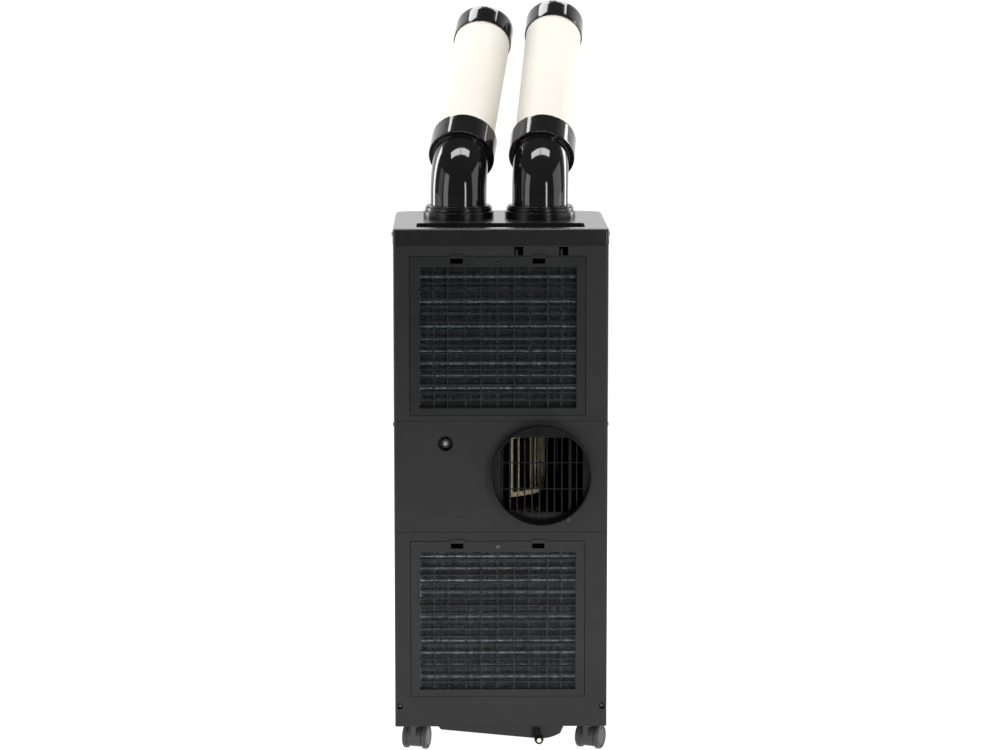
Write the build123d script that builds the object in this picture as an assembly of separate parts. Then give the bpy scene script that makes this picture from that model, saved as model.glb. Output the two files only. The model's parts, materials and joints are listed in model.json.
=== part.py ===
from build123d import *
import math
import os

# Portable air conditioner on castors, with two swivelling cold-air nozzles on top and a round
# exhaust collar on the rear. Millimetres. +Z is up, the rear face looks along +Y, and the
# origin is on the floor under the middle of the whole object's box.

# ---- cabinet ----
WIDTH = 430.0
DEPTH = 380.0                 # rear face to the front corners
FRONT_BOW = 20.0              # how far the front bulges past its corners
REAR_CORNER_R = 6.0
FRONT_CORNER_R = 26.0
WALL = 3.0
PAN_Z = 61.0                  # underside of the cabinet
COVER_Z = 1045.0              # lower edge of the top cover's skirt
TOP_Z = 1077.0
COVER_OVERHANG = 1.0
COVER_EDGE_R = 5.0
SEAM = 0.8                    # gap between neighbouring panels
MIDDLE_PANEL_Z = (463.7, 689.6)
REAR_WRAP = 12.0              # how far the rear panels wrap round the corners
FAR = 400.0                   # reaches past the cabinet in any direction

# ---- hand recess in the top cover ----
RECESS_WIDTH = 338.0
RECESS_SETBACK = (30.0, 120.0)
RECESS_DEPTH = 26.0
RECESS_R = 8.0

# ---- intake grilles ----
GRILLE_X = 6.5
GRILLE_WIDTH = 351.0
GRILLE_HEIGHT = 320.0
GRILLE_BOTTOM = {"upper": 701.8, "lower": 124.2}
GRILLE_GAP = 1.0              # between a grille and the panel round it
GRILLE_PROUD = 1.0
GRILLE_THICKNESS = 10.0
MESH_WIDTH = 315.6            # the grille's open area
MESH_BOTTOM = 13.9
MESH_HEIGHT = 284.4
RIB_X = (-100.5, -33.5, 33.5, 100.5)
RIB_WIDTH = 2.0
SLAT_COUNT = 17
SLAT_THICKNESS = 1.8
SLAT_DEPTH = 7.0
LATCH_X = 82.0
LATCH_WIDTH = 29.0
LATCH_TOP = 3.6               # above the grille's top edge
LATCH_HOLE = (4.0, 14.6)      # finger hole, measured down from the top edge
LATCH_LIP = 1.6
GRILLE_SCREW_DROP = 10.0
HINGE_LIFT = 4.0              # tilt axis above the grille's bottom edge
FILTER_THICKNESS = 3.0
FILTER_MARGIN = 5.0           # the filter's frame outside the open area
FILTER_RIB_PITCH = 64.0
FILTER_RIB = 2.4

# ---- slots under the top cover ----
SLOT_X = (-124.9, -35.6)
SLOT_WIDTH = 18.1
SLOT_Z = (1023.6, 1041.2)

# ---- exhaust ----
EXHAUST_X = -81.0
EXHAUST_Z = 580.0
EXHAUST_R = 101.0
EXHAUST_WALL = 2.5
EXHAUST_PROJECTION = 25.0
EXHAUST_NECK = 1.0            # how far the slimmer neck in the panel's hole stands out of it
EXHAUST_NECK_R = 100.4
EXHAUST_FLANGE_R = 104.0
GUARD_WINDOW = (168.0, 157.0)
GUARD_BAR = 2.6
GUARD_PITCH = 15.0
GUARD_COUNT = 11
GUARD_FIRST_X = 78.2          # the first bar, right of the collar's centre
GUARD_CROSS_Z = (550.5, 604.0)

# ---- fans on one upright shaft ----
SHAFT_X = 35.0
SHAFT_SETBACK = 190.0
SHAFT_R = 6.0
SHAFT_Z = (512.0, 885.0)
RUNNING_GAP = 0.05
CONDENSER_FAN = {"radius": 130.0, "z": (521.0, 643.0), "blades": 48}
EVAPORATOR_FAN = {"radius": 105.0, "z": (800.0, 880.0), "blades": 36}
SCROLL_R = 155.0
SCROLL_Z = (500.0, 657.0)
SCROLL_WALL = 2.5
SCROLL_DUCT_X = (-142.0, -18.0)
DECK_Z = 668.0
DECK_THICKNESS = 4.0
MOTOR_R = 58.0
MOTOR_HEIGHT = 92.0
CASING_Z = (785.0, 1040.0)

# ---- cooling circuit ----
COMPRESSOR_X = 90.0
COMPRESSOR_Y = 60.0
COMPRESSOR_R = 72.0
COMPRESSOR_Z = (92.0, 290.0)
ACCUMULATOR_X = -12.0
LINE_X = 192.0
LINE_Y = 20.0
LINE_R = 4.0
COIL_HALF = 164.0

# ---- nozzles ----
NOZZLE_X = 84.0
NOZZLE_SETBACK = 246.5
BEND_START_Z = 1119.5
BEND_R = 95.3
BEND_ANGLE = 55.0             # from upright
ELBOW_R = 57.8
ELBOW_WALL = 3.0
ELBOW_FOOT_Z = 1058.0
COLLAR_STEPS = ((72.7, 14.0), (69.0, 8.0))     # outer radius and height, from the top face up
CLIP_RING = (66.0, 4.0)
COLLAR_BORE_R = 58.2
COLLAR_TAB = (7.4, 5.0, 17.0)
SOCKET_R = 68.2
SOCKET_LENGTH = 57.7
SOCKET_BORE_R = 59.9
SOCKET_FLOOR = 4.0
TUBE_R = 59.5
TUBE_WALL = 2.5
RING_R = 62.2
RING_LENGTH = 50.9
RING_LIP = 3.0
TUBE_LENGTH = 423.0
NOZZLES = {                   # side, how far it leans towards -X off straight ahead, where its ring starts
    "left": {"sign": -1, "lean": 5.8, "ring_start": 408.7},
    "right": {"sign": 1, "lean": 8.3, "ring_start": 387.6},
}

# ---- screws ----
SCREW_R = 2.0
SCREW_HOLE_R = 2.2
MIDDLE_SCREWS = ((84.4, 488.5), (-136.5, 488.0))
CORNER_SCREW_X = (-205.6, 205.6)
CORNER_SCREW_Z = 103.0
CORNER_HOLE_R = 6.5
SIDE_SCREW_Z = (680.0, 1065.0)
SIDE_SCREW_SETBACK = 24.0

# ---- drains ----
TRAY_DEPTH = 90.0
SPOUT_X = -77.4
SPOUT_Z = 34.5
SPOUT_R = 8.0
SPOUT_BORE_R = 4.9
SPOUT_PROJECTION = 13.0
CAP_R = 4.5
PORT_X = 111.3
PORT_Z = 643.8
PORT_R = 16.0
PLUG_R = 8.4

# ---- castors ----
CASTER_X = 177.0
CASTER_SETBACK = 45.0
CASTER_YAW = {"left": -25.5, "right": -16.0}
WHEEL_R = 25.0
WHEEL_INNER_X = 6.0
WHEEL_DISC_X = 15.2           # the wide outer disc starts here; the narrower tread runs under the hood
WHEEL_OUTER_X = 25.0
TREAD_R = 21.0
HOOD_R = 24.0
HOOD_WALL = 2.0
HOOD_HALF = 14.6
HOOD_EDGE_Z = (8.0, 21.0)     # its lower edge on the stem side and on the trailing side
CASTER_TRAIL = 18.0
STEM_R = 5.5
AXLE_R = 4.0

# ---- control panel, on the bowed front ----
PANEL_WIDTH = 220.0
PANEL_Z = (905.0, 985.0)
PANEL_THICKNESS = 2.0
DISPLAY_SIZE = (62.0, 30.0)
DISPLAY_Z = 957.0
BUTTON_Z = 923.0
BUTTON_R = 9.0
BUTTON_PROUD = 1.8
BUTTONS = {"power": -75.0, "mode": -25.0, "fan_speed": 25.0, "temperature": 75.0}


def nozzle_reach(nozzle):
    """How far a nozzle's end ring reaches in front of the upright part of its elbow."""
    slope = math.radians(BEND_ANGLE)
    lean = math.radians(nozzle["lean"])
    along = nozzle["ring_start"] + RING_LENGTH
    centre = BEND_R * (1 - math.cos(slope)) + along * math.sin(slope)
    rim = RING_R * math.sqrt(1 - (math.sin(slope) * math.cos(lean)) ** 2)
    return centre * math.cos(lean) + rim


LONGEST_REACH = max(nozzle_reach(nozzle) for nozzle in NOZZLES.values())
REAR = (NOZZLE_SETBACK + LONGEST_REACH - EXHAUST_PROJECTION) / 2    # y of the rear face
FRONT_CORNER = REAR - DEPTH
FRONT_SPLIT = FRONT_CORNER + FRONT_CORNER_R + 4
NOZZLE_Y = REAR - NOZZLE_SETBACK
SHAFT_Y = REAR - SHAFT_SETBACK
COIL_Y = (REAR - 60, REAR - 22)


# ---- small helpers ----
def block(x, y, z):
    """A box from three (low, high) pairs."""
    size = [high - low for low, high in (x, y, z)]
    middle = [(high + low) / 2 for low, high in (x, y, z)]
    return Pos(*middle) * Box(*size)


def upright(radius, x, y, z):
    """A cylinder along Z from z[0] to z[1]."""
    return Pos(x, y, (z[0] + z[1]) / 2) * Cylinder(radius, z[1] - z[0])


def lengthways(radius, x, y, z):
    """A cylinder along Y from y[0] to y[1]."""
    return Pos(x, (y[0] + y[1]) / 2, z) * Rot(90, 0, 0) * Cylinder(radius, y[1] - y[0])


def crossways(radius, x, y, z):
    """A cylinder along X from x[0] to x[1]."""
    return Pos((x[0] + x[1]) / 2, y, z) * Rot(0, 90, 0) * Cylinder(radius, x[1] - x[0])


def around(centre, half):
    return (centre - half, centre + half)


def group(solids):
    """Separate solids that share one node."""
    return Compound(children=[solid for shape in solids for solid in shape.solids()])


def front_face_y(x):
    """The bowed front's y at x."""
    bow_r = ((WIDTH / 2) ** 2 + FRONT_BOW ** 2) / (2 * FRONT_BOW)
    return FRONT_CORNER - FRONT_BOW + bow_r - math.sqrt(bow_r ** 2 - x ** 2)


def outline(inset):
    """The cabinet's plan, drawn in by inset all round."""
    half = WIDTH / 2 - inset
    rear = REAR - inset
    corner = FRONT_CORNER + inset
    sides = Polyline((half, corner), (half, rear), (-half, rear), (-half, corner))
    bow = ThreePointArc((-half, corner), (0, corner - FRONT_BOW), (half, corner))
    plan = make_face(sides + bow)
    by_depth = plan.vertices().sort_by(Axis.Y)
    plan = fillet(by_depth[:2], FRONT_CORNER_R - inset)
    return fillet(plan.vertices().sort_by(Axis.Y)[-2:], REAR_CORNER_R - inset)


def shell(z):
    """The cabinet's wall between two heights."""
    ring = outline(0) - outline(WALL)
    return Pos(0, 0, z[0]) * extrude(ring, z[1] - z[0])


# ---- cabinet panels ----
def side_panel(sign):
    z = (PAN_Z, COVER_Z - SEAM)
    span = sorted((sign * WIDTH / 2 * 0.9, sign * FAR))
    panel = shell(z) & block(span, (FRONT_SPLIT + SEAM, REAR - REAR_WRAP - SEAM), z)
    return panel - crossways(SCREW_HOLE_R, span, REAR - SIDE_SCREW_SETBACK, SIDE_SCREW_Z[0])


def front_panel():
    z = (PAN_Z, COVER_Z - SEAM)
    panel = shell(z) & block((-FAR, FAR), (-FAR, FRONT_SPLIT), z)
    for x in BUTTONS.values():
        panel -= lengthways(BUTTON_R + 0.5, x, around(FRONT_CORNER, FAR), BUTTON_Z)
    width, height = DISPLAY_SIZE
    return panel - block(around(0, width / 2 - 3), around(FRONT_CORNER, FAR), around(DISPLAY_Z, height / 2 - 3))


def rear_panel(z):
    return shell(z) & block((-FAR, FAR), (REAR - REAR_WRAP, FAR), z)


def grille_opening(level):
    low = GRILLE_BOTTOM[level] - GRILLE_GAP
    high = GRILLE_BOTTOM[level] + GRILLE_HEIGHT + GRILLE_GAP
    return block(around(GRILLE_X, GRILLE_WIDTH / 2 + GRILLE_GAP), around(REAR, WALL * 2), (low, high))


def rear_panel_upper():
    panel = rear_panel((MIDDLE_PANEL_Z[1] + SEAM, COVER_Z - SEAM)) - grille_opening("upper")
    for x in SLOT_X:
        panel -= block(around(x, SLOT_WIDTH / 2), around(REAR, WALL * 2), SLOT_Z)
        hook = block((x + 2, x + 6), (REAR - WALL, REAR - 1), (SLOT_Z[0], SLOT_Z[1] - 6))
        panel += hook
    return panel


def rear_panel_middle():
    panel = rear_panel(MIDDLE_PANEL_Z)
    panel -= lengthways(EXHAUST_R + 0.3, EXHAUST_X, around(REAR, WALL * 2), EXHAUST_Z)
    panel -= lengthways(PORT_R, PORT_X, around(REAR, WALL * 2), PORT_Z)
    for x, z in MIDDLE_SCREWS:
        panel -= lengthways(SCREW_HOLE_R, x, around(REAR, WALL * 2), z)
    return panel


def rear_panel_lower():
    panel = rear_panel((PAN_Z, MIDDLE_PANEL_Z[0] - SEAM)) - grille_opening("lower")
    for x in CORNER_SCREW_X:
        panel -= lengthways(CORNER_HOLE_R, x, around(REAR, WALL), CORNER_SCREW_Z)
    return panel


def recess_plan(margin):
    low, high = RECESS_SETBACK
    rectangle = RectangleRounded(RECESS_WIDTH + 2 * margin, high - low + 2 * margin, RECESS_R + margin)
    return Pos(0, REAR - (low + high) / 2, 0) * rectangle


def top_cover():
    cover = Pos(0, 0, COVER_Z) * extrude(outline(-COVER_OVERHANG), TOP_Z - COVER_Z)
    cover = fillet(cover.faces().sort_by(Axis.Z)[-1].edges(), COVER_EDGE_R)
    cover -= Pos(0, 0, COVER_Z) * extrude(outline(WALL - COVER_OVERHANG), TOP_Z - COVER_Z - WALL)
    tub_z = TOP_Z - RECESS_DEPTH
    cover += Pos(0, 0, tub_z - WALL) * extrude(recess_plan(WALL), RECESS_DEPTH)
    cover -= Pos(0, 0, tub_z) * extrude(recess_plan(0), RECESS_DEPTH + 1)
    cover -= crossways(SCREW_HOLE_R, (-FAR, FAR), REAR - SIDE_SCREW_SETBACK, SIDE_SCREW_Z[1])
    for nozzle in NOZZLES.values():
        cover -= upright(COLLAR_BORE_R + 4, nozzle["sign"] * NOZZLE_X, NOZZLE_Y, (COVER_Z, TOP_Z + 1))
    return cover


# ---- base ----
def caster_places():
    for end, y in (("rear", REAR - CASTER_SETBACK), ("front", FRONT_CORNER + CASTER_SETBACK)):
        for side, sign in (("left", -1), ("right", 1)):
            yield end + "_" + side, Pos(sign * CASTER_X, y, 0) * Rot(0, 0, CASTER_YAW[side])


def base_pan():
    rim_height = 20.0
    floor_z = PAN_Z + WALL
    pan = Pos(0, 0, PAN_Z) * extrude(outline(WALL + 0.3), rim_height)
    pan -= Pos(0, 0, floor_z) * extrude(outline(WALL + 0.3 + 2), rim_height)
    for _, place in caster_places():
        pan += place * upright(STEM_R + 5, 0, 0, (PAN_Z, PAN_Z + 19))
        pan -= place * upright(STEM_R + RUNNING_GAP, 0, 0, (PAN_Z - 1, PAN_Z + 17))
    sump = block((-90, 60), (REAR - TRAY_DEPTH + 12, REAR - 14), around(PAN_Z, 10))
    return pan - sump


def tray_profile(inset):
    """The sump's face seen from the front: a round rise, a low flat and a long slope."""
    top = PAN_Z - 0.2 if inset == 0 else PAN_Z + 5
    edge = 127.0 - inset
    low_end = (-90, 35.5 + inset)
    rise_top = (-121 + inset, 46.5 + inset)
    rim = Polyline((edge, top), (-edge, top), (-edge, 60.5 - inset), rise_top)
    rise = ThreePointArc(rise_top, (-110 + inset / 2, 41 + inset), low_end)
    slope = Polyline(low_end, (-66.6, 36.0 + inset), (122 - inset, 54.5 + inset), (edge, 60.5 - inset), (edge, top))
    return make_face(rim + rise + slope)


def tray_solid(inset, depth, back):
    return Pos(0, back, 0) * Rot(90, 0, 0) * extrude(tray_profile(inset), depth)


def drain_tray():
    wall = 2.0
    back = REAR - 0.4
    tray = tray_solid(0, TRAY_DEPTH, back) - tray_solid(wall, TRAY_DEPTH - 2 * wall, back - wall)
    return tray - lengthways(SPOUT_R, SPOUT_X, (REAR - 22, REAR + 1), SPOUT_Z)


def drain_spout():
    pipe = lengthways(SPOUT_R, SPOUT_X, (REAR - 21, REAR + SPOUT_PROJECTION), SPOUT_Z)
    boss = block((-80, -64), (REAR, REAR + 7), (42.0, 58.0))
    collar = lengthways(SPOUT_R + 1.5, SPOUT_X, (REAR, REAR + 3), SPOUT_Z)
    spout = pipe + boss + collar
    return spout - lengthways(SPOUT_BORE_R, SPOUT_X, (REAR - 15, REAR + SPOUT_PROJECTION + 1), SPOUT_Z)


def drain_cap():
    end = REAR + SPOUT_PROJECTION
    cap = lengthways(CAP_R, SPOUT_X, (end - 14, end + 1.5), SPOUT_Z)
    return fillet(cap.edges().sort_by(Axis.Y)[-1:], 1.0)


def upper_drain_port():
    cup = lengthways(PORT_R - 0.2, PORT_X, (REAR - 16, REAR - 0.4), PORT_Z)
    cup += lengthways(PORT_R + 4, PORT_X, (REAR - WALL - 2.5, REAR - WALL - 0.1), PORT_Z)
    cup -= lengthways(PORT_R - 2.2, PORT_X, (REAR - 13, REAR + 1), PORT_Z)
    return cup - lengthways(PLUG_R - 1.6, PORT_X, (REAR - 17, REAR), PORT_Z)


def upper_drain_plug():
    head = lengthways(PLUG_R, PORT_X, (REAR - 12.6, REAR - 4.5), PORT_Z)
    stopper = lengthways(PLUG_R - 2, PORT_X, (REAR - 18, REAR - 12), PORT_Z)
    return head + stopper - lengthways(4.6, PORT_X, (REAR - 9, REAR), PORT_Z)


def upper_drain_pin():
    pin = lengthways(4.55, PORT_X, (REAR - 8.9, REAR - 2.6), PORT_Z)
    pin = chamfer(pin.edges().sort_by(Axis.Y)[-1:], 0.8)
    return pin - lengthways(1.2, PORT_X, (REAR - 6, REAR), PORT_Z)


# ---- castors ----
def caster_housing():
    """A hood over the treads of both wheels, a web between them, and the stem that turns in the base pan."""
    half = WHEEL_INNER_X - 0.6
    hood = crossways(HOOD_R, (-HOOD_HALF, HOOD_HALF), -CASTER_TRAIL, WHEEL_R)
    for sign in (-1, 1):
        side = sorted((sign * half, sign * FAR))
        hood -= crossways(HOOD_R - HOOD_WALL, side, -CASTER_TRAIL, WHEEL_R)
    covered = block((-FAR, FAR), (-CASTER_TRAIL, FAR), (HOOD_EDGE_Z[0], PAN_Z))
    covered += block((-FAR, FAR), (-FAR, -CASTER_TRAIL), (HOOD_EDGE_Z[1], PAN_Z))
    hood &= covered
    hood += block((-half, half), (-CASTER_TRAIL - 6, 8), (WHEEL_R + 6, PAN_Z - 5))
    hood += upright(13, 0, 0, (2 * WHEEL_R + 0.8, PAN_Z - 0.8))
    hood += upright(STEM_R, 0, 0, (PAN_Z - 2, PAN_Z + 16))
    return hood - crossways(AXLE_R + RUNNING_GAP, (-half, half), -CASTER_TRAIL, WHEEL_R)


def caster_wheels():
    """Two wheels on one axle, each a narrow tread and a wide outer disc with a grooved face."""
    pair = crossways(AXLE_R, (-WHEEL_INNER_X - 1, WHEEL_INNER_X + 1), -CASTER_TRAIL, WHEEL_R)
    for sign in (-1, 1):
        tread = sorted((sign * WHEEL_INNER_X, sign * (WHEEL_DISC_X + 2)))
        disc = sorted((sign * WHEEL_DISC_X, sign * WHEEL_OUTER_X))
        wheel = crossways(WHEEL_R, disc, -CASTER_TRAIL, WHEEL_R)
        wheel = fillet(wheel.edges().filter_by(GeomType.CIRCLE), 2.5)
        wheel += crossways(TREAD_R, tread, -CASTER_TRAIL, WHEEL_R)
        dish = sorted((sign * (WHEEL_OUTER_X - 2.5), sign * FAR))
        groove = crossways(WHEEL_R - 5, dish, -CASTER_TRAIL, WHEEL_R)
        groove -= crossways(WHEEL_R - 7, dish, -CASTER_TRAIL, WHEEL_R)
        pair += wheel - groove
    return pair


# ---- intake grilles and filters ----
def grille(level):
    bottom = GRILLE_BOTTOM[level]
    top = bottom + GRILLE_HEIGHT
    y = (REAR + GRILLE_PROUD - GRILLE_THICKNESS, REAR + GRILLE_PROUD)
    frame = block(around(GRILLE_X, GRILLE_WIDTH / 2), y, (bottom, top))
    mesh_z = (bottom + MESH_BOTTOM, bottom + MESH_BOTTOM + MESH_HEIGHT)
    mesh_x = around(GRILLE_X, MESH_WIDTH / 2)
    frame -= block(mesh_x, around(REAR, 2 * GRILLE_THICKNESS), mesh_z)
    for x in around(GRILLE_X, LATCH_X):
        hole_z = (top - LATCH_HOLE[1], top - LATCH_HOLE[0])
        frame += block(around(x, LATCH_WIDTH / 2), (REAR + 0.4, REAR + GRILLE_PROUD + LATCH_LIP),
                       (top - LATCH_HOLE[0], top + LATCH_TOP))
        frame -= block(around(x, LATCH_WIDTH / 2 - 2), (y[0] + 2, REAR + 5), hole_z)
    frame -= lengthways(SCREW_HOLE_R, GRILLE_X, around(REAR, 2 * GRILLE_THICKNESS), top - GRILLE_SCREW_DROP)
    slat_y = (REAR - SLAT_DEPTH, REAR - 0.6)
    pitch = MESH_HEIGHT / (SLAT_COUNT + 1)
    bars = []
    for number in range(1, SLAT_COUNT + 1):
        bars.append(block(mesh_x, slat_y, around(mesh_z[0] + number * pitch, SLAT_THICKNESS / 2)))
    for x in RIB_X:
        bars.append(block(around(GRILLE_X + x, RIB_WIDTH / 2), (slat_y[0], REAR), mesh_z))
    return frame + bars


def intake_filter(level):
    bottom = GRILLE_BOTTOM[level] + MESH_BOTTOM
    back = REAR + GRILLE_PROUD - GRILLE_THICKNESS - 0.2
    y = (back - FILTER_THICKNESS, back)
    margin = FILTER_MARGIN
    x = around(GRILLE_X, MESH_WIDTH / 2 + margin)
    z = (bottom - margin, bottom + MESH_HEIGHT + margin)
    inner_x = around(GRILLE_X, MESH_WIDTH / 2 - 1)
    inner_z = (bottom + 1, bottom + MESH_HEIGHT - 1)
    frame = block(x, y, z) - block(inner_x, around(REAR, FAR), inner_z)
    sheet = block(inner_x, (y[0], y[0] + 0.6), inner_z)
    ribs = [sheet]
    for step in (-2, -1, 0, 1, 2):
        ribs.append(block(around(GRILLE_X + step * FILTER_RIB_PITCH, FILTER_RIB / 2), y, inner_z))
    for step in (-1.5, -0.5, 0.5, 1.5):
        middle = bottom + MESH_HEIGHT / 2 + step * FILTER_RIB_PITCH
        ribs.append(block(inner_x, y, around(middle, FILTER_RIB)))
    return frame + ribs


def pan_head(radius, x, y, z, length):
    """A pan-head screw that looks along +Y, with a cross recess; y is under its head."""
    screw = lengthways(radius, x, (y, y + 2), z)
    screw = fillet(screw.edges().sort_by(Axis.Y)[-1:], 1.2)
    screw -= block(around(x, radius * 0.6), (y + 1, y + 3), around(z, 0.5))
    screw -= block(around(x, 0.5), (y + 1, y + 3), around(z, radius * 0.6))
    return screw + lengthways(SCREW_R, x, (y - length, y + 0.2), z)


def grille_screw(level):
    z = GRILLE_BOTTOM[level] + GRILLE_HEIGHT - GRILLE_SCREW_DROP
    return pan_head(5.0, GRILLE_X, REAR + GRILLE_PROUD, z, 12)


def cabinet_screws():
    screws = [pan_head(4.2, x, REAR, z, 8) for x, z in MIDDLE_SCREWS]
    for x in CORNER_SCREW_X:
        screws.append(pan_head(4.2, x - math.copysign(1.5, x), REAR - WALL - 3, CORNER_SCREW_Z, 8))
    for sign in (-1, 1):
        for z in SIDE_SCREW_Z:
            face = WIDTH / 2 + (COVER_OVERHANG if z > COVER_Z else 0)
            turn = Pos(sign * face, REAR - SIDE_SCREW_SETBACK, z) * Rot(0, 0, -90 * sign)
            screws.append(turn * pan_head(4.2, 0, 0, 0, 2.8))
    return group(screws)


# ---- exhaust ----
def exhaust_collar():
    inside = REAR - WALL - 2.2
    neck_end = REAR + EXHAUST_NECK
    collar = lengthways(EXHAUST_NECK_R, EXHAUST_X, (inside, neck_end), EXHAUST_Z)
    collar += lengthways(EXHAUST_R, EXHAUST_X, (neck_end, REAR + EXHAUST_PROJECTION), EXHAUST_Z)
    collar += lengthways(EXHAUST_FLANGE_R, EXHAUST_X, (inside, REAR - WALL - 0.1), EXHAUST_Z)
    return collar - lengthways(EXHAUST_R - EXHAUST_WALL, EXHAUST_X, around(REAR, FAR), EXHAUST_Z)


def exhaust_guard():
    y = (REAR - WALL - 5, REAR - WALL - 2.3)
    width, height = GUARD_WINDOW
    window_z = around((SCROLL_Z[0] + SCROLL_Z[1]) / 2, height / 2)
    plate = lengthways(EXHAUST_FLANGE_R, EXHAUST_X, y, EXHAUST_Z)
    plate -= block(around(EXHAUST_X, width / 2), around(REAR, FAR), window_z)
    plate &= block(around(EXHAUST_X, FAR), around(REAR, FAR), around(EXHAUST_Z, EXHAUST_FLANGE_R - 1))
    bars = []
    for number in range(GUARD_COUNT):
        x = EXHAUST_X + GUARD_FIRST_X - number * GUARD_PITCH
        bars.append(block(around(x, GUARD_BAR / 2), y, window_z))
    for z in GUARD_CROSS_Z:
        bars.append(block(around(EXHAUST_X, width / 2), y, around(z, 1.0)))
    return plate + bars


def blower_scroll():
    """The exhaust blower's housing: a round drum with a straight duct to the collar."""
    end_y = REAR - WALL - 5.4
    def drum(inset):
        z = (SCROLL_Z[0] + inset, SCROLL_Z[1] - inset)
        body = upright(SCROLL_R - inset, SHAFT_X, SHAFT_Y, z)
        duct_end = end_y + (1 if inset else 0)
        duct_x = (SCROLL_DUCT_X[0] + inset, SCROLL_DUCT_X[1] - inset)
        return body + block(duct_x, (SHAFT_Y, duct_end), z)
    scroll = drum(0) - drum(SCROLL_WALL)
    scroll -= upright(100, SHAFT_X, SHAFT_Y, around(SCROLL_Z[0], 8))
    return scroll - upright(MOTOR_R + 3, SHAFT_X, SHAFT_Y, around(SCROLL_Z[1], 8))


# ---- fans ----
def impeller(fan):
    """A squirrel-cage wheel: two rings joined by upright blades, and a plate with a hub."""
    radius = fan["radius"]
    low, high = fan["z"]
    chord = 20.0
    ring_height = 10.0
    rings = Cylinder(radius, ring_height) - Cylinder(radius - chord, ring_height)
    wheel = Pos(0, 0, low + ring_height / 2) * rings
    wheel += Pos(0, 0, high - ring_height / 2) * rings
    wheel += upright(radius - chord + 1, 0, 0, (low, low + 3))
    wheel += upright(SHAFT_R + 9, 0, 0, (low, low + 24))
    blade = Pos(radius - chord / 2, 0, (low + high) / 2) * Rot(0, 0, 24) * Box(chord - 3, 1.8, high - low - 4)
    count = fan["blades"]
    wheel += [Rot(0, 0, number * 360 / count) * blade for number in range(count)]
    wheel -= upright(SHAFT_R + 0.02, 0, 0, (low - 1, high + 1))
    return Pos(SHAFT_X, SHAFT_Y, 0) * wheel


def motor_shaft():
    return upright(SHAFT_R, SHAFT_X, SHAFT_Y, SHAFT_Z)


def fan_motor():
    base = DECK_Z + DECK_THICKNESS
    motor = upright(MOTOR_R, SHAFT_X, SHAFT_Y, (base, base + MOTOR_HEIGHT))
    motor = fillet(motor.edges().filter_by(GeomType.CIRCLE).sort_by(Axis.Z)[-1:], 10)
    motor += upright(MOTOR_R + 16, SHAFT_X, SHAFT_Y, (base, base + 4))
    motor += upright(18, SHAFT_X, SHAFT_Y, (base - 12, base + MOTOR_HEIGHT + 8))
    return motor - upright(SHAFT_R + RUNNING_GAP, SHAFT_X, SHAFT_Y, (base - 20, base + MOTOR_HEIGHT + 20))


def fan_deck():
    z = (DECK_Z, DECK_Z + DECK_THICKNESS)
    deck = Pos(0, 0, z[0]) * extrude(outline(WALL + 1), DECK_THICKNESS)
    deck &= block((-FAR, FAR), (-FAR, REAR - 12), z)
    deck -= upright(22, SHAFT_X, SHAFT_Y, around(z[0], 20))
    return deck - upright(9, LINE_X, LINE_Y, around(z[0], 20))


def cold_air_casing():
    """The plenum over the evaporator fan, open below the fan and up into both nozzles."""
    x = (-186.0, 186.0)
    y = (4.0, REAR - 74)
    casing = block(x, y, CASING_Z)
    casing -= block((x[0] + 2, x[1] - 2), (y[0] + 2, y[1] - 2), (CASING_Z[0] + 2, CASING_Z[1] - 2))
    casing -= upright(88, SHAFT_X, SHAFT_Y, around(CASING_Z[0], 8))
    for nozzle in NOZZLES.values():
        casing -= upright(ELBOW_R - ELBOW_WALL, nozzle["sign"] * NOZZLE_X, NOZZLE_Y, around(CASING_Z[1], 8))
    return casing


# ---- cooling circuit ----
def coil(z):
    """Upright fins between end plates, on level tubes."""
    middle_y = sum(COIL_Y) / 2
    fin_pitch = 8.0
    tube_pitch = 25.0
    fins = int(2 * COIL_HALF / fin_pitch)
    shape = [block(around(-COIL_HALF + (number + 0.5) * fin_pitch, 0.5), COIL_Y, z) for number in range(fins)]
    for sign in (-1, 1):
        shape.append(block(around(sign * COIL_HALF, 0.8), COIL_Y, z))
    tubes = int((z[1] - z[0]) / tube_pitch)
    for number in range(tubes):
        height = z[0] + (number + 0.5) * tube_pitch
        shape.append(crossways(LINE_R, (-COIL_HALF - 3, COIL_HALF + 3), middle_y, height))
    return shape[0] + shape[1:]


def compressor():
    can = upright(COMPRESSOR_R, COMPRESSOR_X, COMPRESSOR_Y, COMPRESSOR_Z)
    can = fillet(can.edges().filter_by(GeomType.CIRCLE).sort_by(Axis.Z)[-1:], 22)
    can += upright(COMPRESSOR_R + 14, COMPRESSOR_X, COMPRESSOR_Y, (COMPRESSOR_Z[0] - 4, COMPRESSOR_Z[0]))
    bottle = upright(25, ACCUMULATOR_X, COMPRESSOR_Y, (110, 262))
    bottle = fillet(bottle.edges().filter_by(GeomType.CIRCLE), 9)
    strap = block((ACCUMULATOR_X, COMPRESSOR_X), around(COMPRESSOR_Y, 8), around(180, 10))
    return can + bottle + strap


def compressor_feet():
    feet = []
    for turn in (30, 150, 270):
        angle = math.radians(turn)
        x = COMPRESSOR_X + (COMPRESSOR_R - 4) * math.cos(angle)
        y = COMPRESSOR_Y + (COMPRESSOR_R - 4) * math.sin(angle)
        foot = upright(12, x, y, (PAN_Z + WALL, COMPRESSOR_Z[0] - 4))
        feet.append(foot - upright(9.5, x, y, around(76, 3)) + upright(9.5, x, y, around(76, 3)))
    return group(feet)


def pipe(points, bend):
    path = FilletPolyline(*points, radius=bend)
    start = Plane(origin=path @ 0, z_dir=path % 0)
    return sweep(start * Circle(LINE_R), path=path)


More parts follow.
